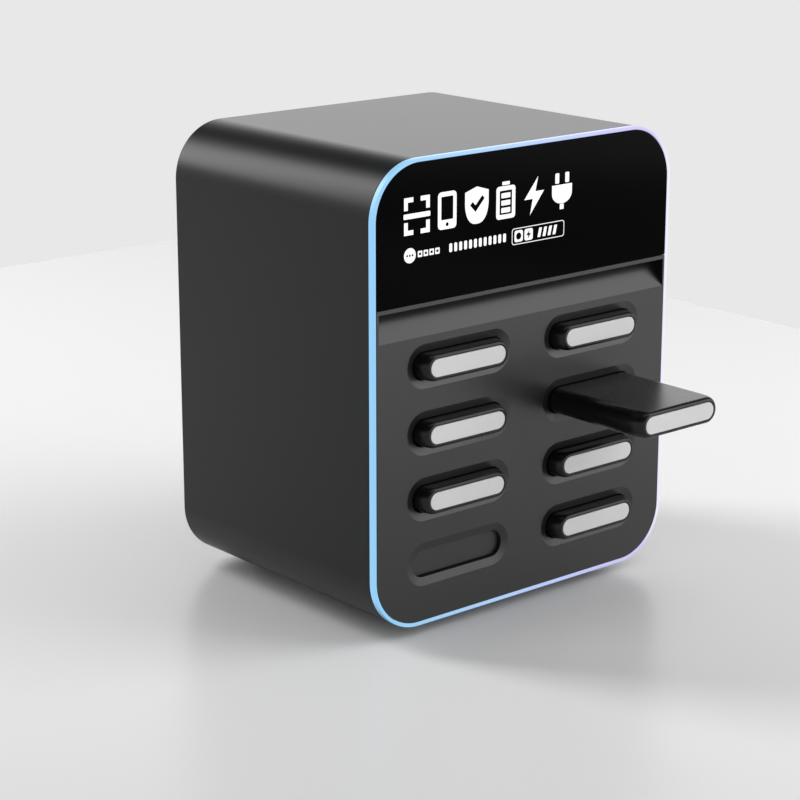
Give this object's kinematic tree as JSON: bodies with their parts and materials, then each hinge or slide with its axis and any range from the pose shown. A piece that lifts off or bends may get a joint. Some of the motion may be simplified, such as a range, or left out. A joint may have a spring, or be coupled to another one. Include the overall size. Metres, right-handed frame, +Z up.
{
  "type": "phone charging kiosk",
  "caption": "Desktop cabinet with rounded corners, a lit edge round the front, a dark glass header and pill-shaped slots that lend out power banks.",
  "frame": {"origin": "on the surface that the kiosk stands on, under the middle of its whole box at rest, half-drawn power bank included", "axes": "+Z up, -Y out of the front with the slots, +X to the right of someone who faces the slots"},
  "size_m": [0.2144, 0.2364, 0.2555],
  "materials": {
    "shell_abs": "satin black moulding with a very fine texture",
    "panel_abs": "graphite grey moulding with a very fine texture",
    "light_guide": "lit acrylic light guide, from sky blue to lavender",
    "display_glass": "glass printed black on its back, with a few lit pictograms",
    "bank_casing": "semi-gloss black moulding",
    "bank_end_plate": "satin light grey moulding",
    "bin_polycarbonate": "plain black moulding",
    "flap_abs": "charcoal moulding with a fine texture",
    "circuit_board": "green solder mask with its components",
    "zinc_steel": "zinc plated sheet",
    "aluminium_case": "folded sheet, satin",
    "speaker_cone": "coated paper cone in a black frame",
    "inlet_nylon": "moulded nylon",
    "foot_rubber": "matt rubber"
  },
  "bodies": {
    "cabinet": {"shell": "shell_abs", "back_cover": "shell_abs", "light_ring": "light_guide", "led_strip": "circuit_board", "front_panel": "panel_abs", "display_glass": "display_glass", "display_module": "circuit_board", "base_plate": "zinc_steel", "rack_plate": "zinc_steel", "electronics_shelf": "zinc_steel", "charging_board_left": "circuit_board", "charging_board_right": "circuit_board", "main_board": "circuit_board", "power_supply": "aluminium_case", "fan_frame": "bin_polycarbonate", "speaker": "speaker_cone", "power_inlet": "inlet_nylon", "foot_front_left": "foot_rubber", "foot_front_right": "foot_rubber", "foot_back_left": "foot_rubber", "foot_back_right": "foot_rubber", "slot_bin_left_1": "bin_polycarbonate", "slot_bin_left_2": "bin_polycarbonate", "slot_bin_left_3": "bin_polycarbonate", "slot_bin_left_4": "bin_polycarbonate", "slot_bin_right_1": "bin_polycarbonate", "slot_bin_right_2": "bin_polycarbonate", "slot_bin_right_3": "bin_polycarbonate", "slot_bin_right_4": "bin_polycarbonate"},
    "power_bank_left_1": {"pack_casing_left_1": "bank_casing", "pack_end_plate_left_1": "bank_end_plate"},
    "power_bank_left_2": {"pack_casing_left_2": "bank_casing", "pack_end_plate_left_2": "bank_end_plate"},
    "power_bank_left_3": {"pack_casing_left_3": "bank_casing", "pack_end_plate_left_3": "bank_end_plate"},
    "power_bank_right_1": {"pack_casing_right_1": "bank_casing", "pack_end_plate_right_1": "bank_end_plate"},
    "power_bank_right_2": {"pack_casing_right_2": "bank_casing", "pack_end_plate_right_2": "bank_end_plate"},
    "power_bank_right_3": {"pack_casing_right_3": "bank_casing", "pack_end_plate_right_3": "bank_end_plate"},
    "power_bank_right_4": {"pack_casing_right_4": "bank_casing", "pack_end_plate_right_4": "bank_end_plate"},
    "button_left_1": {"pack_button_left_1": "bank_casing"},
    "button_left_2": {"pack_button_left_2": "bank_casing"},
    "button_left_3": {"pack_button_left_3": "bank_casing"},
    "button_right_1": {"pack_button_right_1": "bank_casing"},
    "button_right_2": {"pack_button_right_2": "bank_casing"},
    "button_right_3": {"pack_button_right_3": "bank_casing"},
    "button_right_4": {"pack_button_right_4": "bank_casing"},
    "flap_left_1": {"slot_flap_left_1": "flap_abs"},
    "flap_left_2": {"slot_flap_left_2": "flap_abs"},
    "flap_left_3": {"slot_flap_left_3": "flap_abs"},
    "flap_left_4": {"slot_flap_left_4": "flap_abs"},
    "flap_right_1": {"slot_flap_right_1": "flap_abs"},
    "flap_right_2": {"slot_flap_right_2": "flap_abs"},
    "flap_right_3": {"slot_flap_right_3": "flap_abs"},
    "flap_right_4": {"slot_flap_right_4": "flap_abs"},
    "rotor": {"fan_rotor": "bin_polycarbonate"},
    "rocker": {"rocker_switch": "inlet_nylon"}
  },
  "joints": [
    {"name": "power_bank_left_1_slide", "type": "slide", "parent": "cabinet", "child": "power_bank_left_1", "axis": [0, -1, 0], "range_m": [0, 0.135]},
    {"name": "power_bank_left_2_slide", "type": "slide", "parent": "cabinet", "child": "power_bank_left_2", "axis": [0, -1, 0], "range_m": [0, 0.135]},
    {"name": "power_bank_left_3_slide", "type": "slide", "parent": "cabinet", "child": "power_bank_left_3", "axis": [0, -1, 0], "range_m": [0, 0.135]},
    {"name": "power_bank_right_1_slide", "type": "slide", "parent": "cabinet", "child": "power_bank_right_1", "axis": [0, -1, 0], "range_m": [0, 0.135]},
    {"name": "power_bank_right_2_slide", "type": "slide", "parent": "cabinet", "child": "power_bank_right_2", "axis": [0, -1, 0], "range_m": [-0.06, 0.075]},
    {"name": "power_bank_right_3_slide", "type": "slide", "parent": "cabinet", "child": "power_bank_right_3", "axis": [0, -1, 0], "range_m": [0, 0.135]},
    {"name": "power_bank_right_4_slide", "type": "slide", "parent": "cabinet", "child": "power_bank_right_4", "axis": [0, -1, 0], "range_m": [0, 0.135]},
    {"name": "button_left_1_press", "type": "slide", "parent": "power_bank_left_1", "child": "button_left_1", "axis": [1, 0, 0], "range_m": [0, 0.0008], "stiffness_N_per_m": 400, "springref_m": -0.001},
    {"name": "button_left_2_press", "type": "slide", "parent": "power_bank_left_2", "child": "button_left_2", "axis": [1, 0, 0], "range_m": [0, 0.0008], "stiffness_N_per_m": 400, "springref_m": -0.001},
    {"name": "button_left_3_press", "type": "slide", "parent": "power_bank_left_3", "child": "button_left_3", "axis": [1, 0, 0], "range_m": [0, 0.0008], "stiffness_N_per_m": 400, "springref_m": -0.001},
    {"name": "button_right_1_press", "type": "slide", "parent": "power_bank_right_1", "child": "button_right_1", "axis": [1, 0, 0], "range_m": [0, 0.0008], "stiffness_N_per_m": 400, "springref_m": -0.001},
    {"name": "button_right_2_press", "type": "slide", "parent": "power_bank_right_2", "child": "button_right_2", "axis": [1, 0, 0], "range_m": [0, 0.0008], "stiffness_N_per_m": 400, "springref_m": -0.001},
    {"name": "button_right_3_press", "type": "slide", "parent": "power_bank_right_3", "child": "button_right_3", "axis": [1, 0, 0], "range_m": [0, 0.0008], "stiffness_N_per_m": 400, "springref_m": -0.001},
    {"name": "button_right_4_press", "type": "slide", "parent": "power_bank_right_4", "child": "button_right_4", "axis": [1, 0, 0], "range_m": [0, 0.0008], "stiffness_N_per_m": 400, "springref_m": -0.001},
    {"name": "flap_left_1_hinge", "type": "hinge", "parent": "cabinet", "child": "flap_left_1", "pos_m": [-0.0485, -0.04605, 0.15649], "axis": [1, 0, 0], "range_deg": [0, 6], "stiffness_Nm_per_rad": 0.002, "springref_deg": -108.86},
    {"name": "flap_left_2_hinge", "type": "hinge", "parent": "cabinet", "child": "flap_left_2", "pos_m": [-0.0485, -0.04605, 0.12056], "axis": [1, 0, 0], "range_deg": [0, 6], "stiffness_Nm_per_rad": 0.002, "springref_deg": -108.86},
    {"name": "flap_left_3_hinge", "type": "hinge", "parent": "cabinet", "child": "flap_left_3", "pos_m": [-0.0485, -0.04605, 0.08463], "axis": [1, 0, 0], "range_deg": [0, 6], "stiffness_Nm_per_rad": 0.002, "springref_deg": -108.86},
    {"name": "flap_left_4_hinge", "type": "hinge", "parent": "cabinet", "child": "flap_left_4", "pos_m": [-0.0485, -0.04605, 0.0487], "axis": [1, 0, 0], "range_deg": [0, 94], "stiffness_Nm_per_rad": 0.002, "springref_deg": -22.92},
    {"name": "flap_right_1_hinge", "type": "hinge", "parent": "cabinet", "child": "flap_right_1", "pos_m": [0.0485, -0.04605, 0.15649], "axis": [1, 0, 0], "range_deg": [0, 6], "stiffness_Nm_per_rad": 0.002, "springref_deg": -108.86},
    {"name": "flap_right_2_hinge", "type": "hinge", "parent": "cabinet", "child": "flap_right_2", "pos_m": [0.0485, -0.04605, 0.12056], "axis": [1, 0, 0], "range_deg": [0, 6], "stiffness_Nm_per_rad": 0.002, "springref_deg": -108.86},
    {"name": "flap_right_3_hinge", "type": "hinge", "parent": "cabinet", "child": "flap_right_3", "pos_m": [0.0485, -0.04605, 0.08463], "axis": [1, 0, 0], "range_deg": [0, 6], "stiffness_Nm_per_rad": 0.002, "springref_deg": -108.86},
    {"name": "flap_right_4_hinge", "type": "hinge", "parent": "cabinet", "child": "flap_right_4", "pos_m": [0.0485, -0.04605, 0.0487], "axis": [1, 0, 0], "range_deg": [0, 6], "stiffness_Nm_per_rad": 0.002, "springref_deg": -108.86},
    {"name": "fan_spin", "type": "hinge", "parent": "cabinet", "child": "rotor", "pos_m": [-0.052, 0.09645, 0.2115], "axis": [0, 1, 0], "continuous": true},
    {"name": "rocker_tilt", "type": "hinge", "parent": "cabinet", "child": "rocker", "pos_m": [-0.064, 0.11435, 0.0655], "axis": [1, 0, 0], "range_deg": [-16, 0]}
  ]
}
